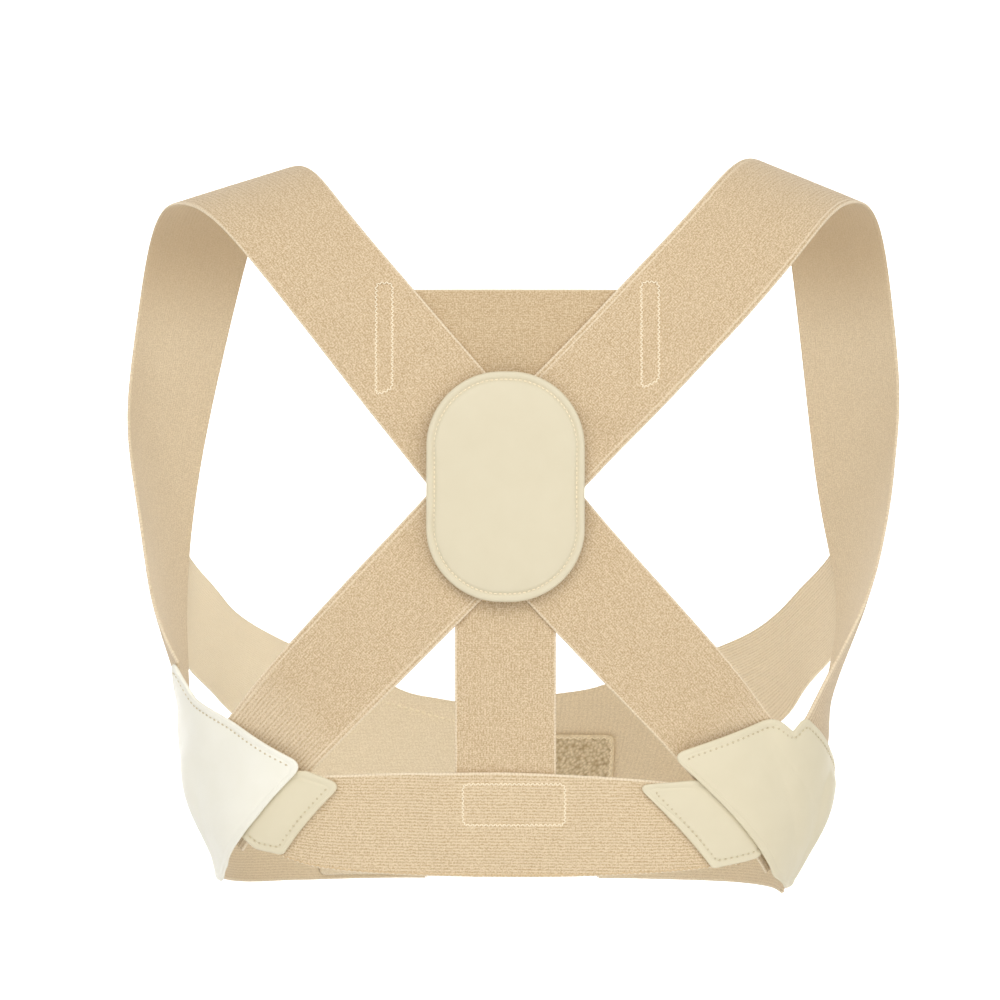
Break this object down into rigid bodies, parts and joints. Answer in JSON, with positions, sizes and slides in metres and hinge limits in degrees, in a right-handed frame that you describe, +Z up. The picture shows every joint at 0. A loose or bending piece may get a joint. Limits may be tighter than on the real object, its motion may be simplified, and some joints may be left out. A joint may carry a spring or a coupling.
{
  "type": "posture corrector",
  "caption": "Elastic back brace in beige webbing: shoulder straps crossed under an oval leather pad, a wide belt, leather side patches and a hook-and-loop front closure.",
  "frame": {"origin": "on the wearer's spine, at the body side of the straps behind the middle of the oval pad", "axes": "+Z up, +Y from the wearer's back to the chest, +X to the wearer's right hand side as seen from behind"},
  "size_m": [0.3923, 0.2174, 0.3681],
  "materials": {
    "webbing": "ribbed elastic webbing",
    "leather": "smooth pale leather",
    "panel": "knitted loop fabric",
    "hook": "matt hook tape"
  },
  "bodies": {
    "root": {"shoulder_strap_left": "webbing", "shoulder_strap_right": "webbing", "upper_back_band": "webbing", "spine_strap": "webbing", "back_belt": "webbing", "front_belt_left": "webbing", "front_belt_right": "webbing", "chest_band_left": "webbing", "chest_band_right": "webbing", "back_pad": "leather", "side_patch_left": "leather", "side_patch_right": "leather", "belt_tab_left": "leather", "belt_tab_right": "leather", "closure_panel_left": "panel", "closure_panel_right": "panel", "hook_patch": "hook"}
  },
  "joints": []
}
